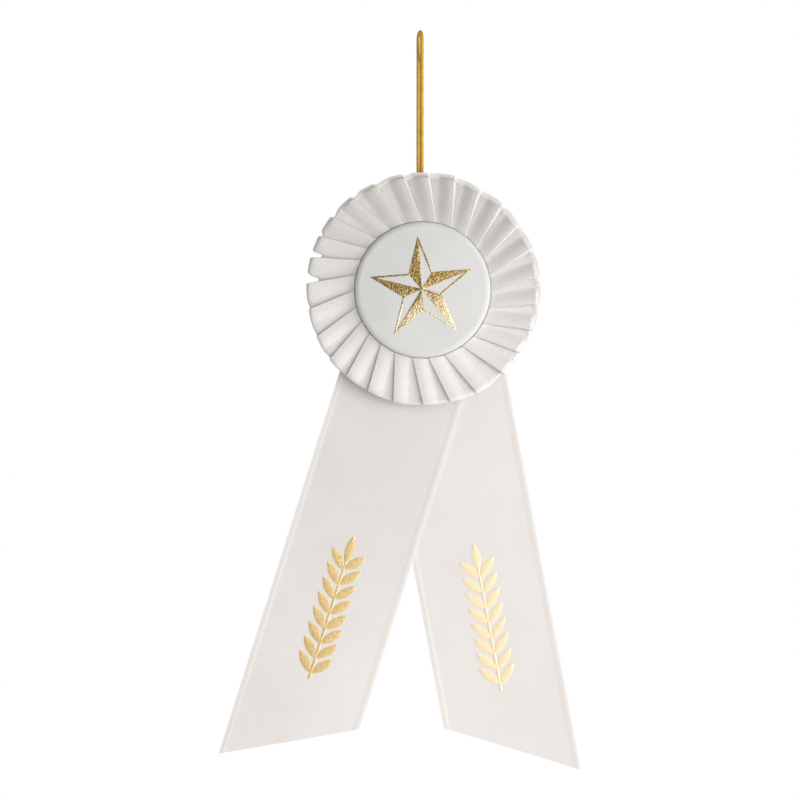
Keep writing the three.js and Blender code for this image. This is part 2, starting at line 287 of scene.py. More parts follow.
def uv_millimetres(nodes):
    """The UV map, whose unit is one metre of cloth, as millimetres."""
    uv = nodes.add("ShaderNodeUVMap", {"uv_map": "UVMap"})
    return nodes.stretched(uv.outputs["UV"], (1000, 1000, 1000))


def object_millimetres(nodes):
    where = nodes.add("ShaderNodeTexCoord")
    return nodes.stretched(where.outputs["Object"], (1000, 1000, 1000))


# -------- materials


# Satin ribbon, in millimetres: the width of its matt selvedge, the pitch of the picots in it, where
# their row begins and ends in from the edge, and the pitch of the ribs beside it.
SELVEDGE_BAND = 1.75
PICOT_PITCH = 0.95
PICOT_ROW = (0.7, 1.6)
PICOT_SHADE = 0.26
RIB_PITCH = 0.75
SHADOW_TONE = (0.25, 0.24, 0.22)
# A colour ramp ends at 1, so distances from the edge are divided by this before they enter one.
RAMP_REACH = 10.0


def woven_edge(nodes, along, across, half_width, hem):
    """The ribbon's edge as three values: the matt selvedge, its picots, and the ribs beside it.
    `hem` says how far from the edge the ribs begin and end."""
    to_edge = nodes.maths("SUBTRACT", half_width, nodes.maths("ABSOLUTE", across))
    inwards = nodes.maths("DIVIDE", to_edge, RAMP_REACH)
    band = SELVEDGE_BAND / RAMP_REACH
    selvedge = nodes.ramp(inwards, [(0.0, 1), (band, 1), (band + 0.025, 0)])

    picots = nodes.maths("SINE", nodes.maths("MULTIPLY", along, 2 * math.pi / PICOT_PITCH))
    first, last = (place / RAMP_REACH for place in PICOT_ROW)
    row = nodes.ramp(inwards, [(first, 0), (first + 0.03, 1), (last - 0.03, 1), (last, 0)])
    dots = nodes.maths("MULTIPLY", nodes.maths("MAXIMUM", picots, 0.0), row)

    ribs = nodes.maths("SINE", nodes.maths("MULTIPLY", across, 2 * math.pi / RIB_PITCH))
    inner, outer = (place / RAMP_REACH for place in hem)
    ribbed = nodes.ramp(inwards, [(inner - 0.01, 0), (inner, 1), (outer - 0.03, 0.7), (outer, 0)])
    return selvedge, dots, nodes.maths("MULTIPLY", ribs, ribbed)


def satin_material(name, colour, half_width, grain_depth, hem, rib_shade, glow=0.0, painted_top_shade=None):
    """White satin whose UV map has U along the ribbon and V across it, from its middle.
    A grain of fine threads breaks its shine, which spreads across the threads. Its matt selvedge
    has a row of picots and is set off by ribs, which lie between the two distances of `hem` and
    are as dark as `rib_shade`. `glow` is how much light passes through. `painted_top_shade` is
    (start, end, tone) of a painted shade: up to `start` along the ribbon the cloth is painted
    darker, to that tone, and from `end` it's clear of it."""
    nodes = Nodes(name)
    cloth = uv_millimetres(nodes)
    split = nodes.add("ShaderNodeSeparateXYZ")
    nodes.put(split.inputs[0], cloth)
    along, across = split.outputs["X"], split.outputs["Y"]
    selvedge, dots, rib_lines = woven_edge(nodes, along, across, half_width, hem)

    lines = nodes.noise(nodes.stretched(cloth, (0.12, 1.7, 1)), 1.0, 3.0, 0.6)
    specks = nodes.noise(nodes.stretched(cloth, (1.1, 1.7, 1)), 1.0, 2.0, 0.7)
    threads = nodes.noise(nodes.stretched(cloth, (5.0, 0.4, 1)), 1.0, 2.0)
    cloud = nodes.noise(nodes.stretched(cloth, (0.045, 0.06, 1)), 1.0, 2.0)
    grain = nodes.weighted([(specks, 0.82), (lines, 0.18)])

    dark = tuple(c * (1 - 2.2 * grain_depth) for c in colour)
    tone = nodes.ramp(grain, [(0.38, dark), (0.62, colour)])
    tone = nodes.mix(1.0, tone, nodes.ramp(cloud, [(0.3, 0.965), (0.7, 1.0)]), "MULTIPLY")
    # Painted shade: up to `start` along the ribbon the colour is darkened to the given tone, fading
    # out by `end`.
    if painted_top_shade is not None:
        start, end, dulled = painted_top_shade
        past = nodes.maths("SUBTRACT", along, start)
        share = nodes.maths("DIVIDE", past, end - start, clamp=True)
        tone = nodes.mix(1.0, tone, nodes.ramp(share, [(0.0, dulled), (1.0, 1.0)]), "MULTIPLY")
    matt = tuple(0.985 * c for c in colour)
    tone = nodes.mix(nodes.maths("MULTIPLY", selvedge, 0.8), tone, matt)
    grooves = nodes.maths("MAXIMUM", rib_lines, 0.0)
    shade = nodes.weighted([(dots, PICOT_SHADE), (grooves, rib_shade)])
    tone = nodes.mix(shade, tone, SHADOW_TONE)

    height = nodes.weighted([(grain, 1.0), (threads, 0.25), (dots, -0.5), (rib_lines, -0.3)])
    gloss = nodes.ramp(grain, [(0.35, 0.46), (0.65, 0.28)])
    warp = nodes.add("ShaderNodeTangent", {"direction_type": "UV_MAP", "uv_map": "UVMap"})
    return nodes.finish(
        Base_Color=tone,
        Roughness=nodes.mix(selvedge, gloss, (0.62, 0.62, 0.62)),
        Specular_IOR_Level=0.8,
        Anisotropic=0.6,
        Anisotropic_Rotation=0.25,
        Tangent=warp.outputs["Tangent"],
        Subsurface_Weight=glow,
        Subsurface_Radius=(1.0, 0.92, 0.84),
        Subsurface_Scale=1.0 * MM,
        Sheen_Weight=0.1,
        Sheen_Roughness=0.4,
        Normal=nodes.bump(height, 1.6 * grain_depth * MM, 0.8),
    )


def button_material():
    """Matt pale cloth with a fine even grain."""
    nodes = Nodes("button_cloth")
    where = object_millimetres(nodes)
    grain = nodes.noise(where, 3.0, 3.0, 0.6)
    cloud = nodes.noise(where, 0.07, 2.0)
    tone = nodes.ramp(cloud, [(0.3, (0.715, 0.715, 0.71)), (0.7, (0.76, 0.76, 0.75))])
    tone = nodes.mix(0.14, tone, nodes.ramp(grain, [(0.3, 0.4), (0.7, 1.0)]), "MULTIPLY")
    return nodes.finish(
        Base_Color=tone,
        Roughness=nodes.ramp(grain, [(0.2, 0.62), (0.8, 0.78)]),
        Specular_IOR_Level=0.3,
        Sheen_Weight=0.1,
        Normal=nodes.bump(grain, 0.05 * MM, 0.8),
    )


def foil_material(name, bright, deep, crinkle, dullest=0.36, metallic=1.0, pale=None, reflection_fade=None):
    """Hot-stamped foil over cloth: a crinkle that breaks its reflection into flecks, which are also
    painted into its colour as painted glints. `dullest` is its greatest roughness. With a fade of
    two heights in millimetres, it turns pale from the upper one down to the lower one, a painted
    reflection of bright light from below."""
    nodes = Nodes(name)
    where = object_millimetres(nodes)
    flecks = nodes.noise(where, 1.5, 3.0, 0.6)
    weave = nodes.noise(nodes.stretched(where, (2.6, 2.6, 2.6)), 1.0, 2.0)
    height = nodes.weighted([(flecks, 0.8), (weave, 0.3)])
    fleck = nodes.ramp(flecks, [(0.36, 0.0), (0.6, 1.0)])
    # Painted glints: the crinkle's flecks are painted into the colour too, from deep to bright.
    tone = nodes.mix(fleck, deep, bright)
    # Painted reflection: towards the lower height the colour turns pale, standing for bright light
    # reflected from below.
    if reflection_fade is not None:
        split = nodes.add("ShaderNodeSeparateXYZ")
        nodes.put(split.inputs[0], where)
        upper, lower = reflection_fade
        lowered = nodes.maths("SUBTRACT", upper, split.outputs["Z"])
        share = nodes.maths("DIVIDE", lowered, upper - lower, clamp=True)
        tone = nodes.mix(share, tone, nodes.mix(fleck, bright, pale))
    return nodes.finish(
        Base_Color=tone,
        Metallic=metallic,
        Roughness=nodes.ramp(weave, [(0.3, dullest - 0.14), (0.7, dullest)]),
        Normal=nodes.bump(height, crinkle, 1.0),
    )


def star_gold():
    """Painted reflection: dark gold in the star's upper points, standing for the dim room they
    reflect, which turns pale in the lower ones, standing for the bright light below.
    """
    height = ROSETTE.z / MM
    return foil_material(
        "star_foil",
        bright=(0.66, 0.47, 0.19),
        deep=(0.12, 0.075, 0.02),
        crinkle=0.3 * MM,
        pale=(1.0, 0.88, 0.6),
        reflection_fade=(height + 1.0, height - 10.0),
    )


def left_gold():
    return foil_material(
        "left_foil",
        bright=(1.0, 0.76, 0.38),
        deep=(0.82, 0.58, 0.24),
        crinkle=0.12 * MM,
        dullest=0.54,
        metallic=0.8,
    )


def right_gold():
    """Paler and smoother than the left tail's foil. Both are one foil: this one's paler colour is a
    painted reflection of the brighter light it catches.
    """
    return foil_material(
        "right_foil",
        bright=(1.0, 0.86, 0.6),
        deep=(1.0, 0.8, 0.48),
        crinkle=0.05 * MM,
        dullest=0.58,
        metallic=0.5,
    )


def cord_material():
    """Gold rayon: fine filaments that wind round each ply."""
    nodes = Nodes("gold_cord")
    strand = uv_millimetres(nodes)
    filaments = nodes.noise(nodes.stretched(strand, (0.35, 6.0, 1)), 1.0, 3.0, 0.6)
    patches = nodes.noise(nodes.stretched(strand, (0.12, 0.4, 1)), 1.0, 2.0)
    tone = nodes.ramp(
        filaments,
        [(0.25, (0.4, 0.2, 0.01)), (0.5, (0.68, 0.38, 0.02)), (0.8, (0.86, 0.54, 0.06))],
    )
    worn = nodes.ramp(patches, [(0.35, 0.78), (0.65, 1.0)])
    return nodes.finish(
        Base_Color=nodes.mix(1.0, tone, worn, "MULTIPLY"),
        Roughness=0.42,
        Specular_IOR_Level=0.4,
        Sheen_Weight=0.1,
        Sheen_Tint=(1.0, 0.8, 0.4, 1.0),
        Normal=nodes.bump(filaments, 0.05 * MM, 0.7),
    )


def board_material(name, pale, dark, fibre_scale):
    """Card or chipboard: soft mottling and short fibres."""
    nodes = Nodes(name)
    where = object_millimetres(nodes)
    mottle = nodes.noise(where, 0.12, 4.0)
    fibres = nodes.noise(nodes.stretched(where, (fibre_scale, 1, fibre_scale * 0.3)), 1.0, 4.0, 0.7)
    tone = nodes.ramp(mottle, [(0.3, dark), (0.7, pale)])
    tone = nodes.mix(0.12, tone, nodes.ramp(fibres, [(0.35, 0.4), (0.6, 1.0)]), "MULTIPLY")
    return nodes.finish(
        Base_Color=tone,
        Roughness=nodes.ramp(fibres, [(0.3, 0.8), (0.7, 0.95)]),
        Normal=nodes.bump(fibres, 0.03 * MM, 0.5),
    )


def metal_material(name, bright, dull, scale):
    """Tinplate or staple wire: drawn along its length, dulled in patches."""
    nodes = Nodes(name)
    where = object_millimetres(nodes)
    lines = nodes.noise(nodes.stretched(where, (scale, scale, 0.2)), 1.0, 3.0, 0.6)
    patches = nodes.noise(where, 0.25, 3.0)
    return nodes.finish(
        Base_Color=nodes.ramp(patches, [(0.3, dull), (0.7, bright)]),
        Metallic=1.0,
        Roughness=nodes.ramp(lines, [(0.3, 0.26), (0.7, 0.46)]),
        Normal=nodes.bump(lines, 0.02 * MM, 0.5),
    )


def foam_material():
    nodes = Nodes("pad_foam")
    where = object_millimetres(nodes)
    cells = nodes.add("ShaderNodeTexVoronoi", Scale=2.5)
    nodes.put(cells.inputs["Vector"], where)
    depth = cells.outputs["Distance"]
    return nodes.finish(
        # The pits are painted darker than the cell walls: painted shade in the foam's cells.
        Base_Color=nodes.ramp(depth, [(0.0, (0.72, 0.71, 0.68)), (0.4, (0.86, 0.85, 0.82))]),
        Roughness=nodes.ramp(depth, [(0.0, 0.85), (0.5, 0.95)]),
        Normal=nodes.bump(depth, 0.1 * MM, 0.6),
    )


# -------- cord

# The cord's plies: how many, the length in which they turn once, and how far they stand out as a
# share of its radius. Then its mesh's points round it and their spacing along it.
PLIES = 3
PLY_TURN = 5.2 * MM
PLY_BULGE = 0.03
CORD_AROUND = 18
CORD_STEP = 0.32 * MM


def cord_route():
    strand = [Vector(p) * MM for p in STRAND_ROUTE]
    eye = [Vector(p) * MM for p in EYE_ROUTE]
    left = [Vector((-p.x, p.y, p.z)) for p in strand]
    whole = [*left, *eye, *reversed(strand)]
    return [*curved(whole, lambda a, b: max(2, round((b - a).length / CORD_STEP))), whole[-1]]


def twisted_tube(name, route, radius):
    """A tube of twisted plies: its section is lobed, and the lobes wind along it."""
    vertices = []
    uvs = []
    travelled = 0.0
    side = Vector((1, 0, 0))
    for i, place in enumerate(route):
        ahead = (route[min(i + 1, len(route) - 1)] - route[max(i - 1, 0)]).normalized()
        side = (side - ahead * side.dot(ahead)).normalized()
        other = ahead.cross(side)
        if i:
            travelled += (place - route[i - 1]).length
        turn = 2 * math.pi * travelled / PLY_TURN
        for k in range(CORD_AROUND):
            angle = 2 * math.pi * k / CORD_AROUND
            lobe = abs(math.cos(PLIES * (angle - turn) / 2)) ** 0.8
            reach = radius * (1.0 + PLY_BULGE * lobe)
            across = side * math.cos(angle) + other * math.sin(angle)
            vertices.append(place + across * reach)
            uvs.append((travelled, (angle - turn) * radius))
    rings = len(route)
    faces = []
    for ring in range(rings - 1):
        for k in range(CORD_AROUND):
            a = ring * CORD_AROUND + k
            b = ring * CORD_AROUND + (k + 1) % CORD_AROUND
            faces.append((a, b, b + CORD_AROUND, a + CORD_AROUND))
    faces.append(tuple(reversed(range(CORD_AROUND))))
    faces.append(tuple(range((rings - 1) * CORD_AROUND, rings * CORD_AROUND)))
    return new_piece(name, vertices, faces, uvs)


def add_cord():
    route = cord_route()
    cord = twisted_tube("hanging_cord", route, CORD_DIAMETER / 2)
    cord.data.materials.append(cord_material())
    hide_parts("cord_loop", "cord_strand_left", "cord_strand_right")
    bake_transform(cord)


# -------- ruffle

# The ribbon is folded by hand, so no two pleats are alike. For each one, counter-clockwise from the
# first ridge: its width at the button's rim in degrees, and, at the ruffle's outer edge in
# millimetres, how far out its ridge reaches, how much of its return shows, how wide the slit
# beside that is, and how deep the notch is.
FIRST_RIDGE_DEG = 12.0
PLEATS = [
    (13.8, 0.5, 0.9, 0.1, 0.4),
    (12.5, -0.3, 0.9, 0.2, 0.2),
    (13.5, 0.4, 1.0, 0.4, 0.3),
    (13.5, -0.4, 1.0, 0.5, 0.2),
    (13.7, 0.6, 1.0, 0.6, 0.5),
    (12.2, 0.0, 1.0, 0.8, 0.2),
    (14.9, 0.2, 0.9, 0.9, 0.8),
    (12.8, 0.0, 0.5, 1.4, 0.6),
    (13.8, 0.3, 0.4, 1.3, 0.9),
    (11.1, 0.4, 0.4, 1.2, 1.0),
    (11.1, 0.3, 0.3, 0.9, 1.1),
    (13.1, 0.2, 0.2, 1.2, 4.0),
    (13.0, 0.1, 0.1, 1.2, 4.6),
    (14.0, -0.1, 0.2, 0.6, 0.6),
    (12.9, 0.1, 0.2, 0.5, 0.4),
    (11.9, 0.2, 0.1, 1.2, 0.5),
    (13.1, -0.1, 0.3, 0.2, 0.2),
    (13.7, -0.2, 0.4, 0.1, 0.2),
    (15.1, 0.1, 0.4, 0.1, 0.3),
    (13.6, -0.2, 0.4, 0.1, 0.2),
    (13.7, -0.2, 0.3, 0.2, 0.3),
    (16.5, 0.3, 0.5, 0.1, 0.3),
    (13.0, 0.4, 0.7, 3.2, 0.8),
    (12.7, -0.3, 0.3, 0.1, 0.2),
    (13.4, 0.5, 0.4, 0.1, 0.7),
    (13.4, 0.4, 0.5, 0.1, 0.9),
    (14.0, 0.4, 0.5, 0.0, 0.8),
]
RUFFLE_RIBBON = 35.0
RUFFLE_CLOTH = 0.2
RUFFLE_WHITE = (0.83, 0.795, 0.767)
RIM_RADIUS = 27.4
# Each fold runs straight along a line that passes this far from the centre, so the folds swirl.
FOLD_OFFSET = 10.1
# A pleat's sloping front strip: its width, and the most of the pitch that it may take. Then the
# least width of the flatter part beside it, and of the return where it shows.
STRIP_WIDTH = 5.9
STRIP_MOST = 0.84
LEAST_FLAT = 0.2
LEAST_RETURN = 0.12
# How far the cloth goes under the next ridge, where the pitch is FULL_PITCH. It's less further in.
HIDDEN_DEPTH = 2.6
FULL_PITCH = 10.5
# Heights in front of the disc, as (radius, height), along a ridge and along the lowest fold.
RIDGE_LINE = [
    (17, 1.3),
    (24, 1.9),
    (26.8, 2.4),
    (27.05, 3.9),
    (27.15, 5.6),
    (27.3, 6.1),
    (29, 6.15),
    (38, 6.2),
    (47, 6.4),
]
FLOOR_LINE = [
    (17, 0.4),
    (24, 0.5),
    (26.8, 1.3),
    (27.12, 4.1),
    (27.35, 5.2),
    (28.5, 4.9),
    (31, 4.3),
    (36, 3.6),
    (47, 3.5),
]
# The pleats stand taller on one side of the ruffle, and no two are quite as tall.
STEEPEST_DEG = 50.0
STEEPER = 0.48
UNEVENNESS = 0.05
# The selvedge turns back along a crease, which lies nearer in towards CREASE_TOWARDS_DEG.
INNER_RADIUS = 17.0
CREASE_RADIUS = 44.9
CREASE_SWING = 0.6
CREASE_TOWARDS_DEG = 45.0
EDGE_RADIUS = 46.3
EDGE_SWING = 0.5
RUFFLE_SELVEDGE = 2.2
# The least of it that shows, and the largest share of its width that does.
LEAST_SHOWN = 0.15
MOST_SHOWN = 0.97
# Where it shows, it's pressed nearly flat, this far above the lowest fold.
HEM_HEIGHT = 1.2
HEM_FLATNESS = 0.8
# Rows across the ribbon, close together where it climbs round the button's rim.
ROW_RADII = [17, 20, 23, 25.3, 26.4, 26.8, 27.05, 27.15, 27.3, 27.45, 27.7, 28.1, 28.8, 29.7]
OUTER_ROWS = 17
SELVEDGE_ROWS = 7
# The selvedge has fully turned by the first of these rows, and is flat by the second.
TURNED_ROW = 2
FLAT_ROW = 3
SECTION_STEPS = 3
# The row that says how far along the ribbon each column lies.
MEASURED_ROW = 20
# The ribbon's two ends meet out of sight, at this point of a pleat's section, by the hidden fold.
SEAM_POINT = 9


def curve_at(points, x):
    """The height at x of a smooth curve through (x, height) points."""
    last = len(points) - 1
    i = max(k for k in range(last) if k == 0 or points[k][0] <= x)

    def slope(k):
        before, after = points[max(k - 1, 0)], points[min(k + 1, last)]
        return (after[1] - before[1]) / (after[0] - before[0])

    (x0, y0), (x1, y1) = points[i], points[i + 1]
    t = min(max((x - x0) / (x1 - x0), 0.0), 1.0)
    bend = slope(i) * (t - 2 * t**2 + t**3) + slope(i + 1) * (t**3 - t**2)
    return y0 + (y1 - y0) * (3 * t**2 - 2 * t**3) + (x1 - x0) * bend


def pleat_section(pitch, opening, slit):
    """A pleat from its ridge round to the next, as (distance, height share, share of the notch).
    The front strip slopes down, a flatter part runs on to the mouth, and the cloth goes under the
    next ridge, turns at the hidden fold, and comes back up to that ridge as the return."""
    strip = min(STRIP_WIDTH, STRIP_MOST * pitch)
    mouth = max(pitch - opening - slit, strip + LEAST_FLAT)
    fold = pitch + HIDDEN_DEPTH * pitch / FULL_PITCH
    lip = pitch - opening
    return [
        (0.0, 1.0, 0.0),
        (0.22, 0.99, 0.0),
        (0.3 * strip, 0.93, 0.0),
        (0.58 * strip, 0.75, 0.0),
        (0.83 * strip, 0.49, 0.0),
        (strip, 0.31, 0.04),
        (0.55 * strip + 0.45 * mouth, 0.24, 0.35),
        (mouth, 0.16, 1.0),
        (0.6 * mouth + 0.4 * fold, 0.05, 1.0),
        (fold - 0.15, 0.0, 1.0),
        (fold, 0.07, 1.0),
        (0.45 * lip + 0.55 * fold, 0.17, 1.0),
        (lip, 0.42, 0.9),
        (lip + 0.4 * opening, 0.76, 0.4),
        (pitch - 0.3 * opening, 0.95, 0.1),
        (pitch, 1.0, 0.0),
    ]


def swirl(radius):
    """How far round a fold has run at this radius from where it leaves the button's rim."""
    return math.acos(FOLD_OFFSET / radius) - math.acos(FOLD_OFFSET / RIM_RADIUS)


def crease_radius(angle):
    return CREASE_RADIUS - CREASE_SWING * math.cos(angle - math.radians(CREASE_TOWARDS_DEG))


def row_shares():
    """How far out each row lies, from the ribbon's inner edge to the crease, as a share."""
    last = ROW_RADII[-1]
    outer = [last + (CREASE_RADIUS - last) * (k + 1) / OUTER_ROWS for k in range(OUTER_ROWS)]
    span = CREASE_RADIUS - INNER_RADIUS
    return [(radius - INNER_RADIUS) / span for radius in [*ROW_RADII, *outer]]


def section_places(index, share, start, end, heights):
    """A pleat's section, at this share of the way out to the crease, in the rosette's frame."""
    radius = INNER_RADIUS + (CREASE_RADIUS - INNER_RADIUS) * share
    pitch = radius * (end - start)
    spread = max(0.0, (radius - RIM_RADIUS) / (CREASE_RADIUS - RIM_RADIUS))
    following = (index + 1) % len(PLEATS)
    _, reach_after, opening, slit, notch = PLEATS[following]
    reach_before = PLEATS[index][1]
    opening = max(LEAST_RETURN, opening * spread)
    places = []
    # Slits, notches and reaches are slight near the button and grow quickly towards the edge.
    for distance, height_share, notch_share in pleat_section(pitch, opening, slit * spread**1.6):
        across = min(1.0, distance / pitch)
        angle = start + distance / radius
        reach = INNER_RADIUS + (crease_radius(angle + swirl(radius)) - INNER_RADIUS) * share
        reach -= notch * notch_share * spread**3
        reach += (reach_before + (reach_after - reach_before) * across) * spread**2
        tall = heights[index] + (heights[following] - heights[index]) * across
        floor = curve_at(FLOOR_LINE, reach)
        height = floor + (curve_at(RIDGE_LINE, reach) - floor) * tall * height_share
        angle += swirl(reach)
        places.append(Vector((reach * math.cos(angle), -height, reach * math.sin(angle))))
    return places


def with_selvedge(column):
    """The column carried on past the crease, where the selvedge turns back."""
    crease = column[-1]
    forward = (crease - column[-2]).normalized()
    angle = math.atan2(crease.z, crease.x)
    away = math.cos(angle - math.radians(CREASE_TOWARDS_DEG))
    shown = EDGE_RADIUS + EDGE_SWING * away - crease_radius(angle)
    shown = min(max(shown, LEAST_SHOWN), RUFFLE_SELVEDGE * MOST_SHOWN)
    bend = math.acos(shown / RUFFLE_SELVEDGE)
    hem = -curve_at(FLOOR_LINE, crease_radius(angle)) - HEM_HEIGHT
    place = crease
    rows = []
    for row in range(SELVEDGE_ROWS):
        turn = bend * min(1.0, (row + 1) / TURNED_ROW)
        direction = forward * math.cos(turn) + Vector((0, math.sin(turn), 0))
        place = place + direction * (RUFFLE_SELVEDGE / SELVEDGE_ROWS)
        flattened = HEM_FLATNESS * shown / RUFFLE_SELVEDGE * min(1.0, (row + 1) / FLAT_ROW)
        rows.append(Vector((place.x, place.y + (hem - place.y) * flattened, place.z)))
    return [*column, *rows]


def ruffle_columns():
    chance = random.Random(7)
    total = sum(pleat[0] for pleat in PLEATS)
    heights = []
    turned = FIRST_RIDGE_DEG
    for width, *_ in PLEATS:
        lean = math.cos(math.radians(turned - STEEPEST_DEG))
        heights.append(1.0 + STEEPER * lean + chance.uniform(-UNEVENNESS, UNEVENNESS))
        turned += 360 * width / total
    columns = []
    end = math.radians(FIRST_RIDGE_DEG)
    for index, pleat in enumerate(PLEATS):
        start, end = end, end + 2 * math.pi * pleat[0] / total
        rows = []
        for share in row_shares():
            places = section_places(index, share, start, end, heights)
            rows.append(curved(places, lambda a, b: SECTION_STEPS))
        columns.extend(with_selvedge(list(column)) for column in zip(*rows))
    seam = SEAM_POINT * SECTION_STEPS
    return [*columns[seam:], *columns[: seam + 1]]


def add_ruffle():
    """The ribbon's mesh. In its UV map, U runs along the ribbon and V across it from the middle."""
    columns = ruffle_columns()
    vertices = []
    uvs = []
    along = 0.0
    for index, column in enumerate(columns):
        if index:
            along += (column[MEASURED_ROW] - columns[index - 1][MEASURED_ROW]).length
        to_edge = [0.0]
        for a, b in zip(reversed(column[1:]), reversed(column[:-1])):
            to_edge.append(to_edge[-1] + (a - b).length)
        for place, inwards in zip(column, reversed(to_edge)):
            vertices.append(ROSETTE + place * MM)
            uvs.append((along * MM, (RUFFLE_RIBBON / 2 - inwards) * MM))
    ruffle = new_piece("satin_ruffle", vertices, grid_faces(len(columns), len(columns[0])), uvs)
    thicken(ruffle, RUFFLE_CLOTH * MM)
    satin = satin_material(
        "ruffle_satin",
        RUFFLE_WHITE,
        RUFFLE_RIBBON / 2,
        grain_depth=0.06,
        hem=(RUFFLE_SELVEDGE, 4.4),
        rib_shade=0.2,
        glow=0.2,
    )
    ruffle.data.materials.append(satin)
    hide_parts("pleated_ruffle")
    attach(ruffle, "rosette")


# -------- tails

# Both tails, from the disc's centre: where their middles cross, the ribbon's width, how far they
# carry on above the crossing, the slant of their lower ends, the satin's thickness, the selvedge's
# width and how far its sides and middle stand out, and the heights between which the tails bend.
TAIL_CROSSING = Vector((2.2, 0, -5.0))
TAIL_WIDTH = 50.8
TAIL_TOP = 10.0
TAIL_CUT = math.radians(27.5)
TAIL_CLOTH = 0.26
SELVEDGE = 1.9
SELVEDGE_SIDE = 0.05
SELVEDGE_MIDDLE = 0.09
TAIL_ROWS = 110
# They hang free from this far below the crossing, for about this length.
TAIL_FREE_FROM = 45.0
TAIL_FREE_LENGTH = 140.0
# Each tail: which side it hangs to, its lean in degrees, its length down its middle from the
# crossing, its depth behind the disc's front, its white, and the painted shade on its upper part,
# if any.
# Both tails are one satin: their whites differ only as painted light and shade, set to even out how
# the lights fall on each.
LEFT = {
    "name": "left_tail",
    "side": -1,
    "lean": 17.6,
    "length": 184.4,
    "depth": 2.15,
    "white": (0.885, 0.838, 0.815),
    "painted_top_shade": (75.0, 150.0, 0.9),
}
RIGHT = {
    "name": "right_tail",
    "side": 1,
    "lean": 10.7,
    "length": 181.7,
    "depth": 2.65,
    "white": (0.84, 0.795, 0.773),
    "painted_top_shade": None,
}


def tail_relief(tail, x, down):
    """How far the cloth lies behind its flat plane, at x across and `down` along the tail. It bows
    back along its length, curls across its width, and rolls in slow waves."""
    free = max(0.0, (down - TAIL_FREE_FROM) / TAIL_FREE_LENGTH)
    across = x / (TAIL_WIDTH / 2)
    if tail["side"] < 0:
        bow = 2.0 * free**1.6 - 0.4 * math.sin(free * 5.0) * free
        curl = 0.3 * free * across**2
        roll = 0.3 * free * math.sin(across * 2.1 + down / 45.0)
    else:
        bow = 1.4 * free**1.5 + 0.4 * math.sin(free * 4.0 + 1.0) * free
        curl = -0.7 * free * across**2
        roll = 0.45 * free * math.sin(across * 1.7 - down / 52.0)
    return bow + curl + roll


def tail_point(tail, x, down, forward=0.0):
    """The place of a point of the tail in the CAD frame, `forward` millimetres in front of it."""
    lean = math.radians(tail["side"] * tail["lean"])
    depth = tail["depth"] + tail_relief(tail, x, down) - forward
    local = Vector(
        (
            TAIL_CROSSING.x + x * math.cos(lean) + down * math.sin(lean),
            depth,
            TAIL_CROSSING.z + x * math.sin(lean) - down * math.cos(lean),
        )
    )
    return ROSETTE + local * MM


def tail_columns():
    """Places across the ribbon: close together at the selvedges."""
    half = TAIL_WIDTH / 2
    edge = [half, half - 0.3, half - 0.8, half - 1.3, half - SELVEDGE, half - SELVEDGE - 0.35]
    middle = [half - SELVEDGE - 1.2 - i * 2.0 for i in range(11)]
    right = [*edge, *middle]
    return [-x for x in right] + [0.0] + list(reversed(right))


def selvedge_rise(x):
    """The woven edge is a little thicker than the satin."""
    inside = TAIL_WIDTH / 2 - abs(x)
    if inside > SELVEDGE:
        return 0.0
    bulge = math.sin(math.pi * inside / SELVEDGE)
    return SELVEDGE_SIDE + (SELVEDGE_MIDDLE - SELVEDGE_SIDE) * bulge


def add_tail(tail):
    xs = tail_columns()
    vertices = []
    uvs = []
    for x in xs:
        slant = tail["side"] * x * math.tan(TAIL_CUT)
        bottom = tail["length"] + slant
        for row in range(TAIL_ROWS):
            down = -TAIL_TOP + (bottom + TAIL_TOP) * row / (TAIL_ROWS - 1)
            vertices.append(tail_point(tail, x, down, selvedge_rise(x)))
            uvs.append((down * MM, x * MM))
    piece = new_piece(f"satin_{tail['name']}", vertices, grid_faces(len(xs), TAIL_ROWS), uvs)
    thicken(piece, TAIL_CLOTH * MM)
    satin = satin_material(
        f"{tail['name']}_satin",
        tail["white"],
        TAIL_WIDTH / 2,
        grain_depth=0.014,
        hem=(SELVEDGE, 2.5),
        rib_shade=0.03,
        painted_top_shade=tail["painted_top_shade"],
    )
    piece.data.materials.append(satin)
    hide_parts(tail["name"], f"{tail['name']}_root")
    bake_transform(piece)
    slant = TAIL_WIDTH / 2 * math.tan(TAIL_CUT)


# -------- foil

# A laurel spray, measured down the tail from the crossing: where it begins and ends, the stem's
# width, the first pair of leaves and the pitch of the rest, and each leaf's size and angle.
SPRAY = {
    "top": 98.0,
    "bottom": 158.0,
    "stem": 1.2,
    "first": 111.5,
    "pitch": 6.2,
    "pairs": 8,
    "leaf": 9.4,
    "width": 3.6,
    "angle": 42.0,
}
# The sprays lie this far in front of the middle of the cloth, and all foil is this thick.
FOIL_LIFT = 0.16
FOIL_THICKNESS = 0.05
# A leaf: how far its spine stands up from its edges, its steps from base to tip, where in a half
# wave its outline begins, the power that makes it fuller, and half its width at the tip.
LEAF_RISE = 0.12
LEAF_STEPS = 10
LEAF_START = 0.08
LEAF_POWER = 0.75
LEAF_TIP = 0.02
# The stem: its steps, how far it runs into the leaf at its top, and how much thinner it is there.
STEM_STEPS = 40
STEM_OVERLAP = 1.0
STEM_TAPER = 0.35


def leaf_rows(base, direction, length, width):
    """A leaf as rows of (left, middle, right) points, from its base to its tip."""
    along = Vector(direction).normalized()
    aside = Vector((along.y, -along.x))
    rows = []
    for step in range(LEAF_STEPS + 1):
        t = step / LEAF_STEPS
        wave = math.sin(math.pi * min(1.0, LEAF_START + (1 - LEAF_START) * t))
        half = LEAF_TIP if step == LEAF_STEPS else width / 2 * wave**LEAF_POWER
        spine = Vector(base) + along * length * t
        rows.append((spine - aside * half, spine, spine + aside * half))
    return rows


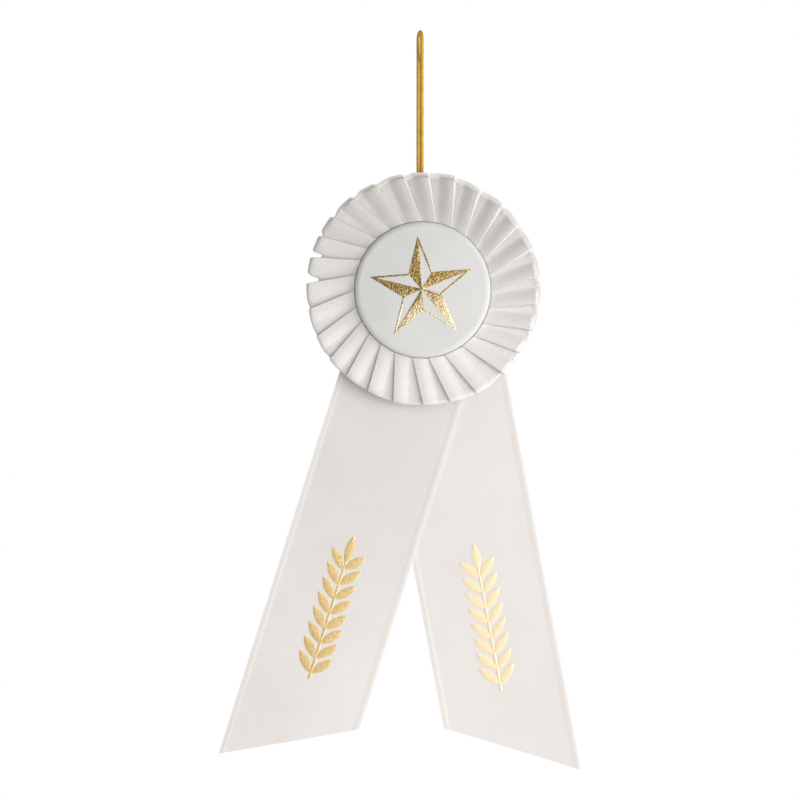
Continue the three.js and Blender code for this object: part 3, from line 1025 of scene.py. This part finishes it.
def spray_leaves():
    """All leaves in the tail's flat frame: x across, y up the tail."""
    angle = math.radians(SPRAY["angle"])
    leaves = []
    for pair in range(SPRAY["pairs"]):
        down = SPRAY["first"] + pair * SPRAY["pitch"]
        for side in (-1, 1):
            base = (side * SPRAY["stem"] / 2, -down)
            direction = (side * math.sin(angle), math.cos(angle))
            leaves.append(leaf_rows(base, direction, SPRAY["leaf"], SPRAY["width"]))
    tip_base = SPRAY["first"] - SPRAY["pitch"] / 2
    leaves.append(leaf_rows((0, -tip_base), (0, 1), tip_base - SPRAY["top"], SPRAY["width"]))
    return leaves


def stem_rows():
    rows = []
    top = SPRAY["first"] - SPRAY["pitch"] / 2 - STEM_OVERLAP
    for step in range(STEM_STEPS + 1):
        t = step / STEM_STEPS
        down = SPRAY["bottom"] + (top - SPRAY["bottom"]) * t
        half = SPRAY["stem"] / 2 * (1.0 - STEM_TAPER * t)
        rows.append((Vector((-half, -down)), Vector((0, -down)), Vector((half, -down))))
    return rows


def add_spray(tail, material):
    vertices = []
    faces = []
    for rows in [stem_rows(), *spray_leaves()]:
        first = len(vertices)
        for row in rows:
            for place, rise in zip(row, (0.0, LEAF_RISE, 0.0)):
                vertices.append(tail_point(tail, place.x, -place.y, FOIL_LIFT + rise))
        for row in range(len(rows) - 1):
            for column in range(2):
                a = first + row * 3 + column
                faces.append((a, a + 1, a + 4, a + 3))
    spray = new_piece(f"{tail['name']}_foil", vertices, faces, smooth=False)
    thicken(spray, FOIL_THICKNESS * MM)
    spray.data.materials.append(material)
    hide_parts(f"{tail['name']}_spray")
    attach(spray, f"{tail['name']}_flap")


# -------- button

# Heights are in front of the disc: the face's at its rim, the crown's above that, and the lower
# edge's. The rounded corner is `corner` wide and falls away by `drop`.
BUTTON = {
    "radius": 27.0,
    "face": 7.7,
    "crown": 1.8,
    "corner": 2.9,
    "drop": 2.0,
    "bottom": 3.4,
    "cloth": 0.22,
}
# The mesh's points round the button, and its rings on the corner and on the face.
BUTTON_AROUND = 160
CORNER_STEPS = 12
FACE_STEPS = 15
# Less than 1, which makes the corner fuller than a round one.
CORNER_POWER = 0.9


def face_height(radius):
    """The height of the button's face in front of the disc: a low crown."""
    return BUTTON["face"] + BUTTON["crown"] * (1 - (radius / BUTTON["radius"]) ** 2)


def cover_section():
    """The cover's outer line as (radius, height), from its lower edge to the centre."""
    radius, corner, drop = BUTTON["radius"], BUTTON["corner"], BUTTON["drop"]
    bottom = BUTTON["bottom"]
    # The lower edge turns in a little.
    points = [(radius - 0.5, bottom), (radius - 0.12, bottom + 0.25), (radius, bottom + 0.8)]
    shoulder = face_height(radius - corner)
    for step in range(CORNER_STEPS + 1):
        angle = step / CORNER_STEPS * math.pi / 2
        r = radius - corner + corner * math.cos(angle) ** CORNER_POWER
        points.append((r, shoulder - drop + drop * math.sin(angle) ** CORNER_POWER))
    for step in range(1, FACE_STEPS):
        r = (radius - corner) * (1 - step / FACE_STEPS)
        points.append((r, face_height(r)))
    return points


def add_button_cover():
    section = cover_section()
    vertices = []
    for k in range(BUTTON_AROUND):
        angle = 2 * math.pi * k / BUTTON_AROUND
        for radius, height in section:
            place = Vector((radius * math.cos(angle), -height, radius * math.sin(angle)))
            vertices.append(ROSETTE + place * MM)
    rows = len(section)
    faces = grid_faces(BUTTON_AROUND, rows, closed=True)
    vertices.append(ROSETTE + Vector((0, -face_height(0), 0)) * MM)
    hub = len(vertices) - 1
    for k in range(BUTTON_AROUND):
        following = (k + 1) % BUTTON_AROUND
        faces.append((k * rows + rows - 1, following * rows + rows - 1, hub))
    cover = new_piece("button_cloth", vertices, faces)
    work = bmesh.new()
    work.from_mesh(cover.data)
    bmesh.ops.recalc_face_normals(work, faces=work.faces)
    work.to_mesh(cover.data)
    work.free()
    thicken(cover, BUTTON["cloth"] * MM, offset=-1.0)
    cover.data.materials.append(button_material())
    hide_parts("button_cover")
    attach(cover, "rosette")


# -------- star

# The star: its radius at the tips and between them, its lean in degrees, the width of its thin
# outlines, and how far its solid half points run on into the open ones beside them.
STAR = {"tip": 21.2, "inner": 8.08, "lean": 4.4, "line": 0.65, "web": 0.12}
# Its centre from the button's, its height above the cloth, how far the middle of its faces stands
# up from their edges, and the cuts in each edge that let it follow the button's crown.
STAR_CENTRE = (-0.35, 0.0)
STAR_LIFT = 0.05
STAR_RISE = 0.06
STAR_CUTS = 3


def polar(angle_deg, radius):
    angle = math.radians(angle_deg)
    return Vector((radius * math.cos(angle), radius * math.sin(angle)))


def inset_corner(corner, towards_a, inset_a, towards_b, inset_b):
    """Where two sides of a triangle meet after each has moved inwards."""
    a = (towards_a - corner).normalized()
    b = (towards_b - corner).normalized()
    sine = abs(a.x * b.y - a.y * b.x)
    return corner + a * (inset_b / sine) + b * (inset_a / sine)


def star_faces():
    """The foil's flat outlines: five solid half points and five thin outlines."""
    centre = Vector((0, 0))
    tips = [polar(90 + STAR["lean"] + 72 * k, STAR["tip"]) for k in range(5)]
    notches = [polar(90 + STAR["lean"] + 36 + 72 * k, STAR["inner"]) for k in range(5)]
    line, web = STAR["line"], STAR["web"]
    near, at_notch, at_tip = [], [], []
    for k in range(5):
        notch = notches[k - 1]
        near.append(inset_corner(centre, notch, web, tips[k], web))
        at_notch.append(inset_corner(notch, tips[k], line, centre, web))
        at_tip.append(inset_corner(tips[k], centre, web, notch, line))
    outlines = []
    for k in range(5):
        after = (k + 1) % 5
        solid = [centre, near[after], at_notch[after], notches[k], tips[k], at_tip[k], near[k]]
        outlines.append(solid)
        outlines.append([notches[k - 1], tips[k], at_tip[k], at_notch[k]])
    return outlines


def add_star(material):
    work = bmesh.new()
    # Corners that lie on one another share a vertex.
    known = {}
    for outline in star_faces():
        corners = []
        for place in outline:
            key = (round(place.x, 4), round(place.y, 4))
            if key not in known:
                known[key] = work.verts.new((place.x, 0, place.y))
            corners.append(known[key])
        work.faces.new(corners)
    bmesh.ops.triangulate(work, faces=work.faces)
    bmesh.ops.subdivide_edges(work, edges=work.edges, cuts=STAR_CUTS, use_grid_fill=True)
    bmesh.ops.triangulate(work, faces=work.faces)
    for vertex in work.verts:
        vertex.co += Vector((STAR_CENTRE[0], 0, STAR_CENTRE[1]))
        radius = math.hypot(vertex.co.x, vertex.co.z)
        border = any(edge.is_boundary for edge in vertex.link_edges)
        height = face_height(radius) + STAR_LIFT + (0.0 if border else STAR_RISE)
        vertex.co = ROSETTE + Vector((vertex.co.x, -height, vertex.co.z)) * MM
    bmesh.ops.recalc_face_normals(work, faces=work.faces)
    mesh = bpy.data.meshes.new("gold_star")
    work.to_mesh(mesh)
    work.free()
    star = bpy.data.objects.new("gold_star", mesh)
    bpy.context.scene.collection.objects.link(star)
    thicken(star, FOIL_THICKNESS * MM)
    star.data.materials.append(material)
    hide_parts("star_foil")
    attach(star, "rosette")


# -------- CAD pieces and the stage


def finish_nodes(names, material):
    for name in names:
        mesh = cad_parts[name].data
        mesh.materials.clear()
        mesh.materials.append(material)


def dress_cad_nodes():
    wire = metal_material("staple_wire", (0.62, 0.62, 0.63), (0.42, 0.42, 0.43), 6.0)
    tin = metal_material("tinplate", (0.66, 0.66, 0.67), (0.5, 0.5, 0.51), 2.0)
    chipboard = board_material("chipboard", (0.5, 0.46, 0.39), (0.4, 0.37, 0.31), 1.2)
    card = board_material("white_card", (0.84, 0.83, 0.79), (0.79, 0.78, 0.74), 0.8)
    cotton = board_material("cotton_thread", (0.86, 0.84, 0.8), (0.74, 0.72, 0.68), 4.0)
    finish_nodes([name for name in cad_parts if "staple" in name], wire)
    finish_nodes(["button_shell", "button_collet", "prong_clip"], tin)
    finish_nodes(["card_pad_left", "card_pad_right"], foam_material())
    finish_nodes(["backing_disc"], chipboard)
    finish_nodes(["event_card"], card)
    finish_nodes(["gathering_thread"], cotton)


# The floor is a disc well below the ribbon's tails, in metres, and the lights are in metres too.
FLOOR_RADIUS = 0.6
FLOOR_DROP = 0.55
FLOOR_SIDES = 128


def add_floor():
    height = cad_box[0][2] - FLOOR_DROP
    corners = []
    for k in range(FLOOR_SIDES):
        angle = 2 * math.pi * k / FLOOR_SIDES
        corners.append((FLOOR_RADIUS * math.cos(angle), FLOOR_RADIUS * math.sin(angle), height))
    floor = new_piece("floor", corners, [tuple(range(FLOOR_SIDES))])
    nodes = Nodes("floor_paper")
    grain = nodes.noise(object_millimetres(nodes), 0.4, 3.0)
    nodes.finish(Base_Color=nodes.ramp(grain, [(0.3, 0.9), (0.7, 0.93)]), Roughness=0.9)
    floor.data.materials.append(nodes.material)


def point_at(obj, target):
    obj.rotation_euler = (Vector(target) - obj.location).to_track_quat("-Z", "Y").to_euler()


def add_light(name, place, target, size, power, colour):
    data = bpy.data.lights.new(name, "AREA")
    data.shape = "SQUARE"
    data.size = size
    data.energy = power
    data.color = colour
    light = bpy.data.objects.new(name, data)
    light.location = place
    bpy.context.scene.collection.objects.link(light)
    point_at(light, target)


# What the room gives the object: a little light from the front and more from behind it.
FRONT_GLOW = (0.27, 0.265, 0.255, 1)
BACK_GLOW = (0.8, 0.8, 0.8, 1)


def front_to_back(tree):
    """A colour that runs from FRONT_GLOW in front of the object to BACK_GLOW behind it."""
    where = tree.nodes.new("ShaderNodeTexCoord")
    split = tree.nodes.new("ShaderNodeSeparateXYZ")
    tree.links.new(where.outputs["Generated"], split.inputs[0])
    # Y runs from -1 to 1, and the ramp needs 0 to 1.
    halved = tree.nodes.new("ShaderNodeMath")
    halved.operation = "MULTIPLY_ADD"
    halved.inputs[1].default_value = 0.5
    halved.inputs[2].default_value = 0.5
    tree.links.new(split.outputs["Y"], halved.inputs[0])
    ramp = tree.nodes.new("ShaderNodeValToRGB")
    ramp.color_ramp.elements[0].color = FRONT_GLOW
    ramp.color_ramp.elements[1].color = BACK_GLOW
    tree.links.new(halved.outputs[0], ramp.inputs[0])
    return ramp.outputs[0]


def add_world():
    """White to look at, with the room's softer light on the object."""
    world = bpy.data.worlds.new("studio")
    bpy.context.scene.world = world
    world.use_nodes = True
    tree = world.node_tree
    tree.nodes.clear()
    seen = tree.nodes.new("ShaderNodeBackground")
    seen.inputs["Color"].default_value = (1, 1, 1, 1)
    cast = tree.nodes.new("ShaderNodeBackground")
    tree.links.new(front_to_back(tree), cast.inputs["Color"])
    path = tree.nodes.new("ShaderNodeLightPath")
    mix = tree.nodes.new("ShaderNodeMixShader")
    tree.links.new(path.outputs["Is Camera Ray"], mix.inputs[0])
    tree.links.new(cast.outputs[0], mix.inputs[1])
    tree.links.new(seen.outputs[0], mix.inputs[2])
    output = tree.nodes.new("ShaderNodeOutputWorld")
    tree.links.new(mix.outputs[0], output.inputs["Surface"])


def add_lights():
    """A large soft light from the front right, and a small one that picks out the folds."""
    target = ROSETTE + Vector((0, 0, -0.05))
    key_place = (0.8, -1.0, -0.3)
    side_place = (0.95, -0.5, -0.25)
    add_light("key", key_place, target, size=1.5, power=14.7, colour=(1.0, 1.0, 0.99))
    add_light("side", side_place, target, size=0.5, power=3.6, colour=(1.0, 0.99, 0.97))


def main():
    bpy.context.scene.view_settings.view_transform = "Standard"
    add_camera()
    add_cord()
    add_ruffle()
    add_tail(LEFT)
    add_tail(RIGHT)
    add_button_cover()
    add_star(star_gold())
    add_spray(LEFT, left_gold())
    add_spray(RIGHT, right_gold())
    dress_cad_nodes()
    add_floor()
    add_world()
    add_lights()


main()
